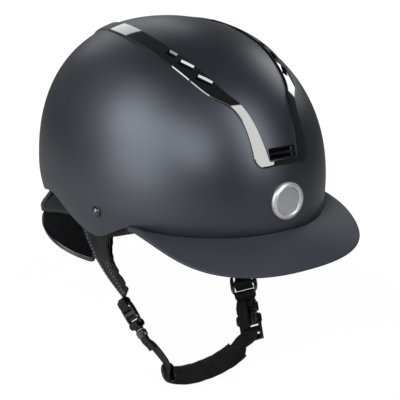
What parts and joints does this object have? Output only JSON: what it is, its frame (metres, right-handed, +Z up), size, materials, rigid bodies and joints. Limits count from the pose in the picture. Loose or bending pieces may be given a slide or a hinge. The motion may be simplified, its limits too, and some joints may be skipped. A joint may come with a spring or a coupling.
{
  "type": "riding helmet",
  "caption": "Riding helmet with a satin shell, rounded visor, gloss vented trim frame, padded liner and a buckled chin strap harness with a padded sleeve.",
  "frame": {"origin": "middle of the head opening, on the level where the shell is widest", "axes": "+Z up to the crown, -Y forward to the visor, +X towards the wearer's left side"},
  "size_m": [0.214, 0.3047, 0.2909],
  "materials": {
    "shell": "satin, moulded",
    "visor": "fine matte",
    "gloss_trim": "high gloss",
    "badge_silver": "brushed, bevelled",
    "badge_grey": "satin",
    "liner_foam": "moulded bead foam",
    "comfort_fabric": "brushed knit",
    "nape_mesh": "fine mesh",
    "nape_fabric": "fuzzy knit",
    "piping": "smooth",
    "ear_leather": "soft grain",
    "rivet_steel": "dark, polished",
    "fastener_steel": "plain",
    "webbing": "woven",
    "buckle_plastic": "moulded",
    "pad_fabric": "soft knit"
  },
  "bodies": {
    "helmet": {"outer_shell": "shell", "visor": "visor", "visor_screws": "fastener_steel", "trim_frame": "gloss_trim", "vent_louver": "gloss_trim", "badge_ring": "badge_silver", "badge_disc": "badge_grey", "impact_liner": "liner_foam", "crown_pad": "comfort_fabric", "brow_pad": "comfort_fabric", "side_pad_right": "comfort_fabric", "side_pad_left": "comfort_fabric", "nape_panel": "nape_mesh", "nape_pad": "nape_fabric", "nape_piping": "piping", "strap_rivets": "rivet_steel", "rivet_washers": "fastener_steel", "ear_guard_right": "ear_leather", "ear_guard_left": "ear_leather", "front_strap_right": "webbing", "front_strap_left": "webbing", "rear_strap_right": "webbing", "rear_strap_left": "webbing", "rear_anchors": "fastener_steel", "guard_loop_right": "webbing", "guard_loop_left": "webbing", "adjuster_right": "buckle_plastic", "adjuster_left": "buckle_plastic"},
    "loop_right": {"strap_loop_right": "webbing"},
    "chin": {"chin_strap": "webbing", "strap_tail": "webbing", "chin_pad": "pad_fabric", "buckle_female": "buckle_plastic"},
    "keeper": {"strap_keeper": "buckle_plastic"},
    "buckle": {"strap_loop_left": "webbing", "buckle_strap": "webbing", "buckle_male": "buckle_plastic"},
    "prong_front": {"latch_prong_front": "buckle_plastic"},
    "prong_rear": {"latch_prong_rear": "buckle_plastic"}
  },
  "joints": [
    {"name": "chin_swing", "type": "hinge", "parent": "helmet", "child": "loop_right", "pos_m": [-0.0576, -0.0353, -0.1201], "axis": [1, 0, 0], "range_deg": [-25, 25], "deforming": ["strap_loop_right"]},
    {"name": "chin_open", "type": "hinge", "parent": "loop_right", "child": "chin", "pos_m": [-0.0576, -0.0353, -0.1201], "axis": [0, 0.7876, -0.6162], "range_deg": [0, 60], "deforming": ["latch_prong_front", "latch_prong_rear"]},
    {"name": "keeper_slide", "type": "slide", "parent": "chin", "child": "keeper", "axis": [0.228, -0.5999, -0.7669], "range_m": [-0.001, 0.004]},
    {"name": "buckle_swing", "type": "hinge", "parent": "helmet", "child": "buckle", "pos_m": [0.054, -0.0353, -0.1201], "axis": [1, 0, 0], "range_deg": [-25, 25], "deforming": ["strap_loop_left"]},
    {"name": "front_latch", "type": "hinge", "parent": "buckle", "child": "prong_front", "pos_m": [0.05307, -0.05069, -0.12787], "axis": [0.9157, 0.1357, -0.3783], "range_deg": [0, 8], "stiffness_Nm_per_rad": 0.001},
    {"name": "rear_latch", "type": "hinge", "parent": "buckle", "child": "prong_rear", "pos_m": [0.04791, -0.03839, -0.13595], "axis": [0.9157, 0.1357, -0.3783], "range_deg": [-8, 0]}
  ],
  "couplings": [
    {"joint": "buckle_swing", "follows": "chin_swing", "ratio": 1},
    {"joint": "rear_latch", "follows": "front_latch", "ratio": -1}
  ]
}
